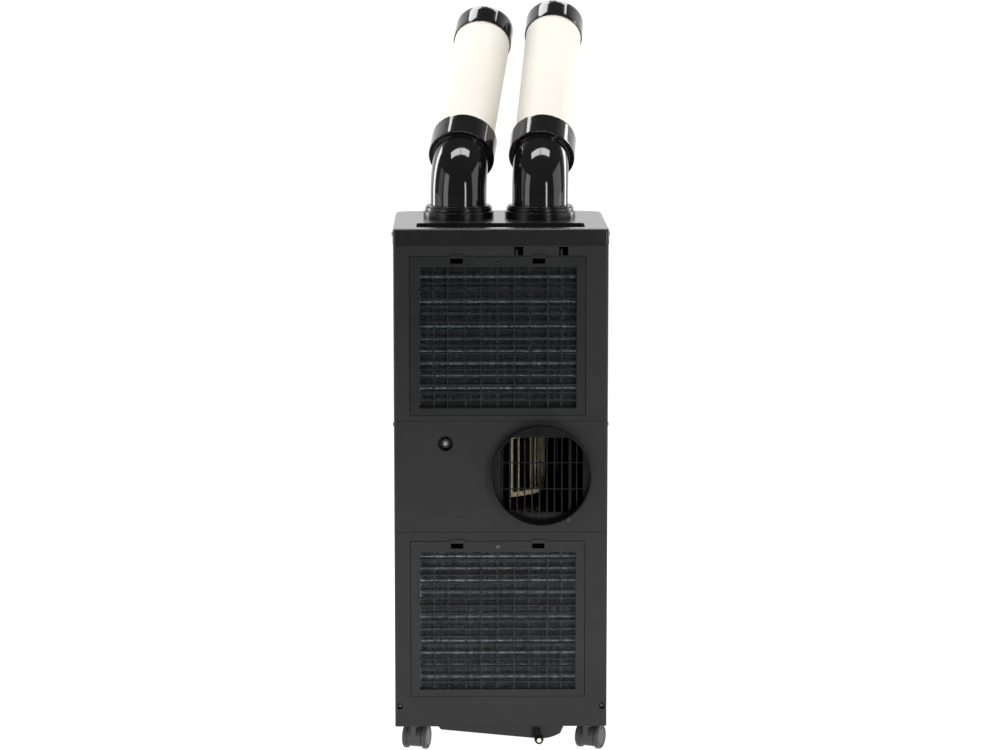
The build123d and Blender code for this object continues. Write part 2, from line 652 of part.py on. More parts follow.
def refrigerant_lines():
    coil_y = sum(COIL_Y) / 2
    end_x = COIL_HALF + 4
    high_z = 762.0
    low_z = 320.0
    discharge = pipe([(110, COMPRESSOR_Y, COMPRESSOR_Z[1]), (110, COMPRESSOR_Y, low_z),
                      (LINE_X, COMPRESSOR_Y, low_z), (LINE_X, coil_y, low_z), (end_x, coil_y, low_z)], 11)
    suction = pipe([(ACCUMULATOR_X, COMPRESSOR_Y, 262), (ACCUMULATOR_X, COMPRESSOR_Y, 380),
                    (LINE_X, LINE_Y, 380), (LINE_X, LINE_Y, high_z), (LINE_X, coil_y, high_z),
                    (end_x, coil_y, high_z)], 11)
    return group([discharge, suction])


# ---- controls ----
def front_skin(outward, inward, x, z):
    """A plate that follows the bowed front, from outward outside the face to inward inside it."""
    skin = outline(-outward) - outline(inward)
    plate = Pos(0, 0, z[0]) * extrude(skin, z[1] - z[0])
    return plate & block(x, (-FAR, FRONT_CORNER + 5), z)


def display_area(margin):
    width, height = DISPLAY_SIZE
    return around(0, width / 2 + margin), around(DISPLAY_Z, height / 2 + margin)


def control_panel():
    panel = front_skin(PANEL_THICKNESS, 0, around(0, PANEL_WIDTH / 2), PANEL_Z)
    x, z = display_area(0.2)
    panel -= block(x, (-FAR, FRONT_CORNER), z)
    for x in BUTTONS.values():
        panel -= lengthways(BUTTON_R + 0.5, x, (-FAR, FRONT_CORNER), BUTTON_Z)
    return panel


def display_window():
    x, z = display_area(0)
    return front_skin(PANEL_THICKNESS - 0.3, 0, x, z)


def button(x):
    face = front_face_y(x) - PANEL_THICKNESS
    cap = lengthways(BUTTON_R, x, (face - BUTTON_PROUD, face + 9), BUTTON_Z)
    cap = fillet(cap.edges().sort_by(Axis.Y)[:1], 1.2)
    return cap + lengthways(BUTTON_R + 2, x, (face + 7, face + 9), BUTTON_Z)


def control_box():
    y = (FRONT_CORNER, FRONT_CORNER + 36)
    z = (898.0, 1000.0)
    box = block(around(0, 115), y, z)
    return box - block(around(0, 113), (y[0] + 2, y[1] - 2), (z[0] + 2, z[1] - 2))


# ---- nozzles ----
def nozzle_place(nozzle):
    """Puts a nozzle, drawn reaching along +X from the origin, on the top cover."""
    return Pos(nozzle["sign"] * NOZZLE_X, NOZZLE_Y, 0) * Rot(0, 0, -90 - nozzle["lean"])


def bend_end():
    slope = math.radians(BEND_ANGLE)
    rise = BEND_START_Z + BEND_R * math.sin(slope)
    return Pos(BEND_R * (1 - math.cos(slope)), 0, rise) * Rot(0, BEND_ANGLE, 0)


def ring_solid(outer, inner, z):
    """A round tube along Z from z[0] to z[1]."""
    return Pos(0, 0, z[0]) * extrude(Circle(outer) - Circle(inner), z[1] - z[0])


def bent_pipe():
    """The elbow's upright foot and its bend, as one hollow pipe."""
    bore = ELBOW_R - ELBOW_WALL
    foot = ring_solid(ELBOW_R, bore, (ELBOW_FOOT_Z, BEND_START_Z))
    section = Pos(0, 0, BEND_START_Z) * (Circle(ELBOW_R) - Circle(bore))
    hub = Axis((BEND_R, 0, BEND_START_Z), (0, 1, 0))
    return foot + revolve(section, axis=hub, revolution_arc=BEND_ANGLE)


def nozzle_collar(nozzle):
    """The fixed ring on the top cover, in two steps, with a tab at the rear."""
    z = TOP_Z
    collar = Part()
    for radius, height in COLLAR_STEPS:
        collar += upright(radius, 0, 0, (z, z + height))
        z += height
    width, depth, height = COLLAR_TAB
    radius = COLLAR_STEPS[0][0]
    collar += block(around(0, width / 2), (radius - depth, radius + 1.2), (TOP_Z, TOP_Z + height))
    collar += upright(COLLAR_BORE_R + 3.5, 0, 0, (TOP_Z - 6, TOP_Z + 1))
    collar -= upright(COLLAR_BORE_R, 0, 0, (TOP_Z - 10, z + 1))
    return Pos(nozzle["sign"] * NOZZLE_X, NOZZLE_Y, 0) * collar


def nozzle_clip_ring(nozzle):
    radius, height = CLIP_RING
    base = TOP_Z + sum(step[1] for step in COLLAR_STEPS) + 0.1
    ring = upright(radius, 0, 0, (base, base + height))
    ring = fillet(ring.edges().sort_by(Axis.Z)[-1:], 1.2)
    ring -= upright(COLLAR_BORE_R, 0, 0, (base - 1, base + height + 1))
    return Pos(nozzle["sign"] * NOZZLE_X, NOZZLE_Y, 0) * ring


def nozzle_elbow(nozzle):
    socket = ring_solid(SOCKET_R, ELBOW_R - ELBOW_WALL, (0, SOCKET_FLOOR))
    socket += ring_solid(SOCKET_R, SOCKET_BORE_R, (SOCKET_FLOOR, SOCKET_LENGTH))
    rims = [edge for edge in socket.edges().filter_by(GeomType.CIRCLE) if abs(edge.radius - SOCKET_R) < 0.01]
    rims = [edge for edge in rims if abs(edge.center().Z - SOCKET_LENGTH / 2) > SOCKET_LENGTH / 2 - 0.01]
    socket = fillet(rims, 2.0)
    return nozzle_place(nozzle) * (bent_pipe() + bend_end() * socket)


def nozzle_tube(nozzle):
    end = nozzle["ring_start"] + RING_LENGTH - RING_LIP
    tube = ring_solid(TUBE_R, TUBE_R - TUBE_WALL, (end - TUBE_LENGTH, end))
    return nozzle_place(nozzle) * bend_end() * tube


def nozzle_ring(nozzle):
    start = nozzle["ring_start"]
    lip = start + RING_LENGTH - RING_LIP
    ring = ring_solid(RING_R, TUBE_R + 0.05, (start, lip))
    ring += ring_solid(RING_R, TUBE_R - TUBE_WALL, (lip, start + RING_LENGTH))
    return nozzle_place(nozzle) * bend_end() * ring


# ---- every piece, by name ----
def all_pieces():
    pieces = {
        "base_pan": base_pan(),
        "drain_tray": drain_tray(),
        "drain_spout": drain_spout(),
        "drain_cap": drain_cap(),
        "left_side_panel": side_panel(-1),
        "right_side_panel": side_panel(1),
        "front_panel": front_panel(),
        "rear_panel_upper": rear_panel_upper(),
        "rear_panel_middle": rear_panel_middle(),
        "rear_panel_lower": rear_panel_lower(),
        "top_cover": top_cover(),
        "cabinet_screws": cabinet_screws(),
        "exhaust_collar": exhaust_collar(),
        "exhaust_guard": exhaust_guard(),
        "blower_scroll": blower_scroll(),
        "fan_deck": fan_deck(),
        "fan_motor": fan_motor(),
        "motor_shaft": motor_shaft(),
        "condenser_impeller": impeller(CONDENSER_FAN),
        "evaporator_impeller": impeller(EVAPORATOR_FAN),
        "cold_air_casing": cold_air_casing(),
        "condenser_coil": coil((100.0, 450.0)),
        "evaporator_coil": coil((695.0, 1020.0)),
        "compressor": compressor(),
        "compressor_feet": compressor_feet(),
        "refrigerant_lines": refrigerant_lines(),
        "upper_drain_port": upper_drain_port(),
        "upper_drain_plug": upper_drain_plug(),
        "upper_drain_pin": upper_drain_pin(),
        "control_panel": control_panel(),
        "display_window": display_window(),
        "control_box": control_box(),
        "nozzle_clip_rings": group(nozzle_clip_ring(nozzle) for nozzle in NOZZLES.values()),
    }
    for level in GRILLE_BOTTOM:
        pieces[level + "_grille"] = grille(level)
        pieces[level + "_filter"] = intake_filter(level)
        pieces[level + "_grille_screw"] = grille_screw(level)
    for name, x in BUTTONS.items():
        pieces[name + "_button"] = button(x)
    for side, nozzle in NOZZLES.items():
        pieces[side + "_nozzle_collar"] = nozzle_collar(nozzle)
        pieces[side + "_nozzle_elbow"] = nozzle_elbow(nozzle)
        pieces[side + "_nozzle_tube"] = nozzle_tube(nozzle)
        pieces[side + "_nozzle_ring"] = nozzle_ring(nozzle)
    for name, place in caster_places():
        pieces[name + "_caster_housing"] = place * caster_housing()
        pieces[name + "_caster_wheels"] = place * caster_wheels()
    return pieces


os.makedirs("parts", exist_ok=True)
for node, shape in all_pieces().items():
    export_step(shape, "parts/" + node + ".step")
print("rear face at y", round(REAR, 3), "front corners at", round(FRONT_CORNER, 3))
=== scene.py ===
import json
import math

import bmesh
import bpy
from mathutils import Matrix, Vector


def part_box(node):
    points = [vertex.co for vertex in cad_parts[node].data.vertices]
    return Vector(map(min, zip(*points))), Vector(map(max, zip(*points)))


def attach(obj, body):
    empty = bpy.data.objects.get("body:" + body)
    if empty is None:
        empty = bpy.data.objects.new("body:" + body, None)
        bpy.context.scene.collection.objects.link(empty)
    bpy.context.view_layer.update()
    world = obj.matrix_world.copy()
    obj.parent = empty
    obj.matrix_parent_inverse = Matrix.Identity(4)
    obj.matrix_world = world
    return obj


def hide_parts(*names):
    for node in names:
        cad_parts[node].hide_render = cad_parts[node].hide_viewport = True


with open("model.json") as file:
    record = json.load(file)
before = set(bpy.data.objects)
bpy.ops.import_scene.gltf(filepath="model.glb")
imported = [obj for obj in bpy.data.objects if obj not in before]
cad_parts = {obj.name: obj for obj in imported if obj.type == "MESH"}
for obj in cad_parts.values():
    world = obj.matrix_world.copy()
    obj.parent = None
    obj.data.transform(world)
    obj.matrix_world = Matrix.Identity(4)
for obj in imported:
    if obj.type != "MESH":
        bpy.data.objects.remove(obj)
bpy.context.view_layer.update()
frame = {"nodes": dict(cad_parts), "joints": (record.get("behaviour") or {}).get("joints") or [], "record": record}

# A portable air conditioner seen from behind: satin charcoal cabinet, gloss black elbows,
# ivory nozzle tubes. Metres, in the CAD frame: +Y out of the rear face, +X is on the left here.
# A left or right in the name of a part is as seen from the front, so left parts are at -X.

MM = 0.001
JOINTS = {joint["name"]: joint for joint in frame["joints"]}
MOUNTS = {mount["name"]: mount for mount in frame["record"]["mounts"]}
REAR_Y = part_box("rear_panel_middle")[1].y
TOP_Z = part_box("top_cover")[1].z
COLLECTION = bpy.context.scene.collection
SHARP_ANGLE = math.radians(35)


# ---------------------------------------------------------------- materials
class Shader:
    """One material's node tree, with short calls to add and wire nodes."""

    def __init__(self, name):
        self.material = bpy.data.materials.new(name)
        self.material.use_nodes = True
        self.tree = self.material.node_tree
        self.surface = self.tree.nodes["Principled BSDF"]
        self.place = self.add("ShaderNodeTexCoord").outputs["Object"]

    def add(self, kind, **settings):
        node = self.tree.nodes.new(kind)
        for key, value in settings.items():
            setattr(node, key, value)
        return node

    def wire(self, source, node, socket):
        self.tree.links.new(source, node.inputs[socket])

    def fixed(self, **values):
        """Sets plain values on the surface's own sockets, such as Coat_Weight=0.2."""
        for key, value in values.items():
            self.surface.inputs[key.replace("_", " ")].default_value = value

    def stretched(self, scale):
        mapping = self.add("ShaderNodeMapping")
        mapping.inputs["Scale"].default_value = scale
        self.wire(self.place, mapping, "Vector")
        return mapping.outputs["Vector"]

    def noise(self, size, detail=3.0, roughness=0.5, stretch=None):
        """Noise whose features are about size metres across."""
        node = self.add("ShaderNodeTexNoise")
        node.inputs["Scale"].default_value = 1.0 / size
        node.inputs["Detail"].default_value = detail
        node.inputs["Roughness"].default_value = roughness
        self.wire(self.stretched(stretch) if stretch else self.place, node, "Vector")
        return node.outputs["Fac"]

    def remap(self, source, low, high, start=0.3, end=0.7):
        node = self.add("ShaderNodeMapRange")
        limits = {"From Min": start, "From Max": end, "To Min": low, "To Max": high}
        for socket, value in limits.items():
            node.inputs[socket].default_value = value
        self.wire(source, node, "Value")
        return node.outputs["Result"]

    def blend(self, factor, first, second):
        """A colour between two, by factor."""
        node = self.add("ShaderNodeMix", data_type="RGBA")
        for socket, value in ((6, first), (7, second)):
            if isinstance(value, tuple):
                node.inputs[socket].default_value = (*value, 1.0)
            else:
                self.wire(value, node, socket)
        self.wire(factor, node, 0)
        return node.outputs[2]

    def colour(self, source):
        self.wire(source, self.surface, "Base Color")

    def rough(self, source):
        self.wire(source, self.surface, "Roughness")

    def bumps(self, *layers):
        """Bump from (height source, depth in metres) layers, coarse first."""
        normal = None
        for source, depth in layers:
            node = self.add("ShaderNodeBump")
            node.inputs["Distance"].default_value = depth
            node.inputs["Strength"].default_value = 1.0
            self.wire(source, node, "Height")
            if normal:
                self.wire(normal, node, "Normal")
            normal = node.outputs["Normal"]
        self.wire(normal, self.surface, "Normal")


def shade(colour, factor):
    return tuple(min(1.0, channel * factor) for channel in colour)


def moulded(name, colour, roughness, grain=0.9 * MM, depth=0.03 * MM, mottle=0.12, specular=0.35,
            uneven=0.055):
    """Satin moulded plastic: fine grain, faint mottling, uneven gloss and a few light scuffs."""
    s = Shader(name)
    patches = s.remap(s.noise(0.09, 4), 0.0, 1.0)
    tone = s.blend(patches, shade(colour, 1 - mottle), shade(colour, 1 + mottle))
    scuff = s.remap(s.noise(0.004, 6, 0.7, (1, 1, 0.12)), 0.0, 0.35, 0.66, 0.8)
    s.colour(s.blend(scuff, tone, shade(colour, 1.4)))
    s.rough(s.remap(s.noise(0.03, 5), roughness - uneven, roughness + uneven))
    s.bumps((s.noise(0.05, 2), depth), (s.noise(grain, 2), depth))
    s.fixed(IOR=1.46, Specular_IOR_Level=specular)
    return s.material


def polished(name, colour, roughness=0.05):
    """Gloss moulded plastic: a trace of mould ripple, dust-fine haze and hairline scratches."""
    s = Shader(name)
    s.colour(s.blend(s.remap(s.noise(0.05, 3), 0, 1), shade(colour, 0.8), shade(colour, 1.3)))
    haze = s.remap(s.noise(0.012, 6, 0.65), roughness, roughness + 0.05, 0.4, 0.75)
    s.rough(haze)
    ripple = s.noise(0.045, 1)
    hairlines = s.noise(0.0012, 4, 0.6, (1, 1, 0.08))
    s.bumps((ripple, 0.035 * MM), (hairlines, 0.0012 * MM))
    s.fixed(IOR=1.5)
    return s.material


def tube_plastic():
    """Extruded ivory tube: slight streaks along its length and a soft waxy sheen."""
    s = Shader("ivory_tube")
    ivory = (0.67, 0.64, 0.575)
    streak = s.noise(0.006, 4, 0.6, (1.0, 0.05, 0.05))
    cloud = s.noise(0.12, 3)
    tone = s.blend(s.remap(cloud, 0, 1), shade(ivory, 0.97), shade(ivory, 1.02))
    s.colour(s.blend(s.remap(streak, 0, 0.35), tone, shade(ivory, 0.93)))
    s.rough(s.remap(streak, 0.48, 0.56))
    s.bumps((cloud, 0.04 * MM), (streak, 0.01 * MM))
    s.fixed(IOR=1.49, Specular_IOR_Level=0.2)
    return s.material


def metal(name, colour, roughness, stretch=(1, 1, 1), stain=(0.2, 0.17, 0.13), stain_amount=0.3):
    """Bare metal with drawn or rolled grain and some staining."""
    s = Shader(name)
    grain = s.noise(0.002, 5, 0.6, stretch)
    spots = s.remap(s.noise(0.02, 6, 0.6), 0, stain_amount, 0.45, 0.75)
    s.colour(s.blend(spots, s.blend(grain, shade(colour, 0.85), shade(colour, 1.1)), stain))
    s.rough(s.remap(grain, roughness - 0.06, roughness + 0.1))
    s.bumps((grain, 0.01 * MM))
    s.fixed(Metallic=1.0)
    return s.material


def finned_aluminium():
    """Thin bluish fins whose colour swings between dark and light in bands: painted highlights standing in for
    fins that catch the light differently.
    """
    s = Shader("coil")
    # Painted highlight: a noise mask that lightens the fins' colour in bands, in place of real reflections.
    painted_glint = s.remap(s.noise(0.0075, 4, 0.7, (1, 1, 0.12)), 0, 1, 0.4, 0.6)
    s.colour(s.blend(painted_glint, (0.19, 0.23, 0.255), (0.48, 0.56, 0.61)))
    s.rough(s.remap(s.noise(0.003, 3), 0.34, 0.5))
    s.bumps((s.noise(0.004, 3, 0.6, (1, 1, 0.1)), 0.1 * MM))
    s.fixed(Metallic=1.0)
    return s.material


def galvanised():
    """Zinc sheet with its crystal spangle."""
    s = Shader("zinc_sheet")
    crystals = s.add("ShaderNodeTexVoronoi")
    crystals.inputs["Scale"].default_value = 1 / 0.009
    s.wire(s.place, crystals, "Vector")
    s.colour(s.blend(crystals.outputs["Color"], (0.34, 0.35, 0.36), (0.55, 0.56, 0.58)))
    s.rough(s.remap(s.noise(0.01), 0.35, 0.5))
    s.bumps((crystals.outputs["Distance"], 0.01 * MM))
    s.fixed(Metallic=1.0)
    return s.material


def rubber():
    s = Shader("rubber")
    s.colour(s.blend(s.noise(0.01), (0.012, 0.012, 0.012), (0.03, 0.03, 0.029)))
    s.rough(s.remap(s.noise(0.002, 4), 0.62, 0.82))
    s.bumps((s.noise(0.0008, 3), 0.05 * MM))
    return s.material


def enamel(name, colour):
    """Thick brushed-on enamel on a steel can."""
    s = Shader(name)
    s.colour(s.blend(s.remap(s.noise(0.03), 0, 1), shade(colour, 0.8), shade(colour, 1.2)))
    s.rough(s.remap(s.noise(0.01, 4), 0.25, 0.4))
    s.bumps((s.noise(0.004, 3), 0.06 * MM))
    s.fixed(Coat_Weight=0.4, Coat_Roughness=0.15)
    return s.material


CHARCOAL = (0.0125, 0.0125, 0.0122)
MATERIALS = {
    "cabinet": moulded("cabinet", CHARCOAL, 0.5, depth=0.012 * MM, mottle=0.08, uneven=0.03),
    "top_cover": moulded("top_cover", (0.008, 0.008, 0.0082), 0.27, depth=0.0015 * MM,
                         specular=0.5, uneven=0.012),
    "dark_plastic": moulded("dark_plastic", (0.0016, 0.0016, 0.0017), 0.3, depth=0.008 * MM,
                            specular=0.3),
    "grille_plastic": moulded("grille_plastic", (0.0095, 0.0095, 0.0096), 0.42, grain=0.6 * MM),
    "filter_mesh": moulded("filter_mesh", (0.024, 0.027, 0.03), 0.4, grain=0.4 * MM),
    "gloss_black": polished("gloss_black", (0.0055, 0.0055, 0.006)),
    "ivory_tube": tube_plastic(),
    "impeller": moulded("impeller", (0.8, 0.68, 0.44), 0.5, mottle=0.2),
    "coil": finned_aluminium(),
    "copper": metal("copper", (0.75, 0.4, 0.24), 0.3, (0.3, 0.3, 0.3), (0.16, 0.1, 0.06), 0.5),
    "steel": metal("steel", (0.55, 0.55, 0.54), 0.3),
    "zinc_sheet": galvanised(),
    "black_screw": moulded("black_screw", (0.002, 0.002, 0.002), 0.2, specular=0.85),
    "motor_steel": enamel("motor_steel", (0.02, 0.02, 0.021)),
    "rubber": rubber(),
    "drain_black": moulded("drain_black", (0.0012, 0.0012, 0.0013), 0.4, specular=0.12),
    "drain_bung": moulded("drain_bung", (0.78, 0.74, 0.64), 0.4, mottle=0.05),
    "caster_grey": moulded("caster_grey", (0.044, 0.045, 0.047), 0.35, grain=0.5 * MM),
    "display": polished("display", (0.004, 0.005, 0.006), 0.04),
    "button_grey": moulded("button_grey", (0.3, 0.31, 0.32), 0.4, grain=0.5 * MM),
}
SATIN_BLACK = moulded("satin_black", (0.0045, 0.0045, 0.0047), 0.24, depth=0.004 * MM, uneven=0.02)
# Painted shade: a matt, unreflecting near-black for the sheets put inside the grille's finger holes.
POCKET_SHADE = moulded("pocket_painted_shade", (0.0006, 0.0006, 0.0006), 0.7, specular=0.0)


# ---------------------------------------------------------------- mesh tools
def piece(name, verts, faces, slot, body, replaces=(), finish=None):
    """A mesh object that rides on a body, in its slot's material unless it has a finish of its own."""
    mesh = bpy.data.meshes.new(name)
    mesh.from_pydata([tuple(v) for v in verts], [], faces)
    built = bmesh.new()
    built.from_mesh(mesh)
    bmesh.ops.recalc_face_normals(built, faces=built.faces)
    built.to_mesh(mesh)
    built.free()
    mesh.polygons.foreach_set("use_smooth", [True] * len(mesh.polygons))
    mesh.set_sharp_from_angle(angle=SHARP_ANGLE)
    mesh.materials.append(finish or MATERIALS[slot])
    obj = bpy.data.objects.new(name, mesh)
    COLLECTION.objects.link(obj)
    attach(obj, body)
    if replaces:
        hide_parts(*replaces)
    return obj


def softened(corners, radius, steps=4):
    """A closed outline with every corner rounded; a corner may have its own radius as a third value."""
    points = []
    count = len(corners)
    for index, corner in enumerate(corners):
        here = Vector(corner[:2])
        before = Vector(corners[index - 1][:2]) - here
        after = Vector(corners[(index + 1) % count][:2]) - here
        wanted = corner[2] if len(corner) > 2 else radius
        reach = min(wanted, before.length * 0.45, after.length * 0.45)
        start = here + before.normalized() * reach
        end = here + after.normalized() * reach
        for step in range(steps + 1):
            t = step / steps
            points.append(start * (1 - t) ** 2 + here * (2 * t * (1 - t)) + end * t ** 2)
    return points


def finer(points, longest):
    """Adds points to a closed outline so that no step along it is longer than longest."""
    dense = []
    for index, point in enumerate(points):
        following = points[(index + 1) % len(points)]
        parts = max(1, math.ceil((following - point).length / longest))
        dense.extend(point.lerp(following, part / parts) for part in range(parts))
    return dense


def carried(profile, path, segments=112):
    """Verts and faces of a closed (along, radius) outline carried round the path."""
    verts, faces = [], []
    for along, radius in profile:
        centre, out, side = path(along)
        for step in range(segments):
            angle = 2 * math.pi * step / segments
            verts.append(centre + out * (radius * math.cos(angle)) + side * (radius * math.sin(angle)))
    rows = len(profile)
    for row in range(rows):
        below, above = row * segments, (row + 1) % rows * segments
        for step in range(segments):
            after = (step + 1) % segments
            faces.append((below + step, below + after, above + after, above + step))
    return verts, faces


def joined(*shapes):
    """Several (verts, faces) shapes as one."""
    verts, faces = [], []
    for more_verts, more_faces in shapes:
        base = len(verts)
        verts.extend(more_verts)
        faces.extend(tuple(base + index for index in face) for face in more_faces)
    return verts, faces


BOX_FACES = ((0, 1, 3, 2), (4, 6, 7, 5), (0, 4, 5, 1), (2, 3, 7, 6), (0, 2, 6, 4), (1, 5, 7, 3))


def bar(x, y, z):
    """A box from three (low, high) pairs."""
    verts = [Vector((x[a], y[b], z[c])) for a in (0, 1) for b in (0, 1) for c in (0, 1)]
    return verts, BOX_FACES


def straight_path(origin, direction, out):
    """A path along a straight line, for shapes carried round it."""
    origin, direction, out = Vector(origin), Vector(direction).normalized(), Vector(out).normalized()
    side = direction.cross(out)
    return lambda along: (origin + direction * along, out, side)


def smooth_by_angle():
    """A geometry node group that keeps edges sharper than SHARP_ANGLE hard."""
    group = bpy.data.node_groups.new("smooth_by_angle", "GeometryNodeTree")
    group.interface.new_socket("Geometry", in_out="INPUT", socket_type="NodeSocketGeometry")
    group.interface.new_socket("Geometry", in_out="OUTPUT", socket_type="NodeSocketGeometry")
    start = group.nodes.new("NodeGroupInput")
    end = group.nodes.new("NodeGroupOutput")
    angle = group.nodes.new("GeometryNodeInputMeshEdgeAngle")
    gentle = group.nodes.new("FunctionNodeCompare")
    gentle.operation = "LESS_THAN"
    gentle.inputs["B"].default_value = SHARP_ANGLE
    faces = group.nodes.new("GeometryNodeSetShadeSmooth")
    edges = group.nodes.new("GeometryNodeSetShadeSmooth")
    edges.domain = "EDGE"
    group.links.new(start.outputs["Geometry"], faces.inputs["Geometry"])
    group.links.new(faces.outputs["Geometry"], edges.inputs["Geometry"])
    group.links.new(angle.outputs["Unsigned Angle"], gentle.inputs["A"])
    group.links.new(gentle.outputs["Result"], edges.inputs["Shade Smooth"])
    group.links.new(edges.outputs["Geometry"], end.inputs["Geometry"])
    return group


SMOOTH_BY_ANGLE = smooth_by_angle()


def rounded_edges(obj, width):
    """Flat faces made whole, edges rounded by width (0 leaves them crisp), and clean shading."""
    weld = obj.modifiers.new("weld", "WELD")
    weld.merge_threshold = 0.00001
    flats = obj.modifiers.new("whole_flats", "DECIMATE")
    flats.decimate_type = "DISSOLVE"
    flats.angle_limit = math.radians(0.5)
    if width:
        bevel = obj.modifiers.new("rounded_edges", "BEVEL")
        bevel.width = width
        bevel.segments = 2
        bevel.limit_method = "ANGLE"
        bevel.angle_limit = math.radians(40)
        bevel.use_clamp_overlap = True
    smooth = obj.modifiers.new("smooth_by_angle", "NODES")
    smooth.node_group = SMOOTH_BY_ANGLE
    normals = obj.modifiers.new("flat_normals", "WEIGHTED_NORMAL")
    normals.keep_sharp = True
    normals.mode = "FACE_AREA"


# ---------------------------------------------------------------- nozzles
BEND_START_Z = 1.1195
BEND_R = 95.3 * MM
ELBOW_R = 57.8 * MM
ELBOW_BORE_R = 54.8 * MM
ELBOW_FOOT = 61.5 * MM
SOCKET_R = 68.2 * MM
SOCKET_BORE_R = 59.9 * MM
SOCKET_LENGTH = 57.7 * MM
SOCKET_FLOOR = 4 * MM
TUBE_LENGTH = 423 * MM
TUBE_WALL = 2.5 * MM
RING_LIP = 3 * MM


class Nozzle:
    """Where one nozzle stands and how its elbow bends, read from its joints and mounts."""

    def __init__(self, side):
        self.side = side
        self.foot = Vector(JOINTS[side + "_nozzle_swivel"]["pos_m"])
        self.direction = Vector(JOINTS[side + "_tube_slide"]["axis"]).normalized()
        self.forward = Vector((self.direction.x, self.direction.y, 0)).normalized()
        self.bend = math.acos(self.direction.z)
        self.bend_length = BEND_R * self.bend
        self.across = Vector((0, 0, 1)).cross(self.forward)
        ring = MOUNTS[side + "_outlet_ring"]
        self.ring_r = ring["dims"]["r_mm"] * MM
        self.ring_length = ring["dims"]["length_mm"] * MM
        reach = (Vector(ring["pos_m"]) - self.bend_end()).dot(self.direction)
        self.ring_start = self.bend_length + reach - self.ring_length / 2
        self.bore_r = MOUNTS[side + "_outlet_bore"]["dims"]["r_mm"] * MM

    def bend_end(self):
        start = Vector((self.foot.x, self.foot.y, BEND_START_Z))
        rise = Vector((0, 0, BEND_R * math.sin(self.bend)))
        return start + self.forward * (BEND_R * (1 - math.cos(self.bend))) + rise

    def path(self, along):
        """Centre and two directions across the pipe, this far along it from the bend's start."""
        turn = min(max(along / BEND_R, 0.0), self.bend)
        direction = self.forward * math.sin(turn) + Vector((0, 0, math.cos(turn)))
        out = self.forward * -math.cos(turn) + Vector((0, 0, math.sin(turn)))
        centre = Vector((self.foot.x, self.foot.y, BEND_START_Z))
        centre += self.forward * (BEND_R * (1 - math.cos(turn)))
        centre += Vector((0, 0, BEND_R * math.sin(turn)))
        centre += direction * (min(along, 0.0) + max(along - self.bend_length, 0.0))
        return centre, out, self.across


def elbow(nozzle):
    start = nozzle.bend_length
    end = start + SOCKET_LENGTH
    outline = softened([
        (-ELBOW_FOOT, ELBOW_R), (start, ELBOW_R, 1.0 * MM),
        (start, SOCKET_R, 1.4 * MM), (end, SOCKET_R, 1.6 * MM),
        (end, SOCKET_BORE_R), (start + SOCKET_FLOOR, SOCKET_BORE_R),
        (start + SOCKET_FLOOR, ELBOW_BORE_R), (-ELBOW_FOOT, ELBOW_BORE_R)], 0.8 * MM)
    verts, faces = carried(finer(outline, 4 * MM), nozzle.path)
    name = nozzle.side + "_nozzle_elbow"
    piece(name + "_gloss", verts, faces, "gloss_black", nozzle.side + "_nozzle", [name])


def tube(nozzle):
    end = nozzle.ring_start + nozzle.ring_length - RING_LIP
    outer = nozzle.bore_r + TUBE_WALL
    outline = softened([(end - TUBE_LENGTH, outer), (end, outer), (end, nozzle.bore_r),
                        (end - TUBE_LENGTH, nozzle.bore_r)], 0.6 * MM)
    verts, faces = carried(finer(outline, 40 * MM), nozzle.path)
    name = nozzle.side + "_nozzle_tube"
    piece(name + "_ivory", verts, faces, "ivory_tube", nozzle.side + "_tube", [name])


def end_ring(nozzle):
    start = nozzle.ring_start
    end = start + nozzle.ring_length
    seat = nozzle.bore_r + TUBE_WALL + 0.05 * MM
    outline = softened([
        (start, nozzle.ring_r, 1.0 * MM), (end, nozzle.ring_r, 1.6 * MM),
        (end, nozzle.bore_r, 1.0 * MM), (end - RING_LIP, nozzle.bore_r, 0.3 * MM),
        (end - RING_LIP, seat, 0.2 * MM), (start, seat)], 0.5 * MM)
    verts, faces = carried(finer(outline, 12 * MM), nozzle.path)
    name = nozzle.side + "_nozzle_ring"
    piece(name + "_gloss", verts, faces, "gloss_black", nozzle.side + "_tube", [name])


def base_collar(nozzle):
    """The fixed ring: two rounded steps with a groove between them, and the split tab at the rear."""
    path = straight_path((nozzle.foot.x, nozzle.foot.y, TOP_Z), (0, 0, 1), (0, 1, 0))
    flange_r = 72.7 * MM
    neck_r = 69 * MM
    bore = 58.2 * MM
    flange_top = 13.8 * MM
    neck_top = 22 * MM
    spigot_end = -6 * MM
    spigot_r = bore + 3.5 * MM
    outline = softened([
        (0, flange_r, 0.4 * MM), (flange_top, flange_r, 1.2 * MM), (flange_top, 68.6 * MM, 0.6 * MM),
        (14.6 * MM, 68.2 * MM, 0.3 * MM), (15.2 * MM, neck_r, 0.4 * MM), (neck_top, neck_r, 1.0 * MM),
        (neck_top, bore), (spigot_end, bore), (spigot_end, spigot_r), (0, spigot_r)], 0.4 * MM)
    collar = carried(outline, path)
    tab_y = nozzle.foot.y + flange_r
    half = 3.7 * MM
    tab = bar((nozzle.foot.x - half, nozzle.foot.x + half), (tab_y - 4.6 * MM, tab_y + 1.2 * MM),
              (TOP_Z + 0.2 * MM, TOP_Z + 17 * MM))
    name = nozzle.side + "_nozzle_collar"
    obj = piece(name + "_satin", *joined(collar, tab), "gloss_black", "cabinet", [name], SATIN_BLACK)
    rounded_edges(obj, 0.5 * MM)


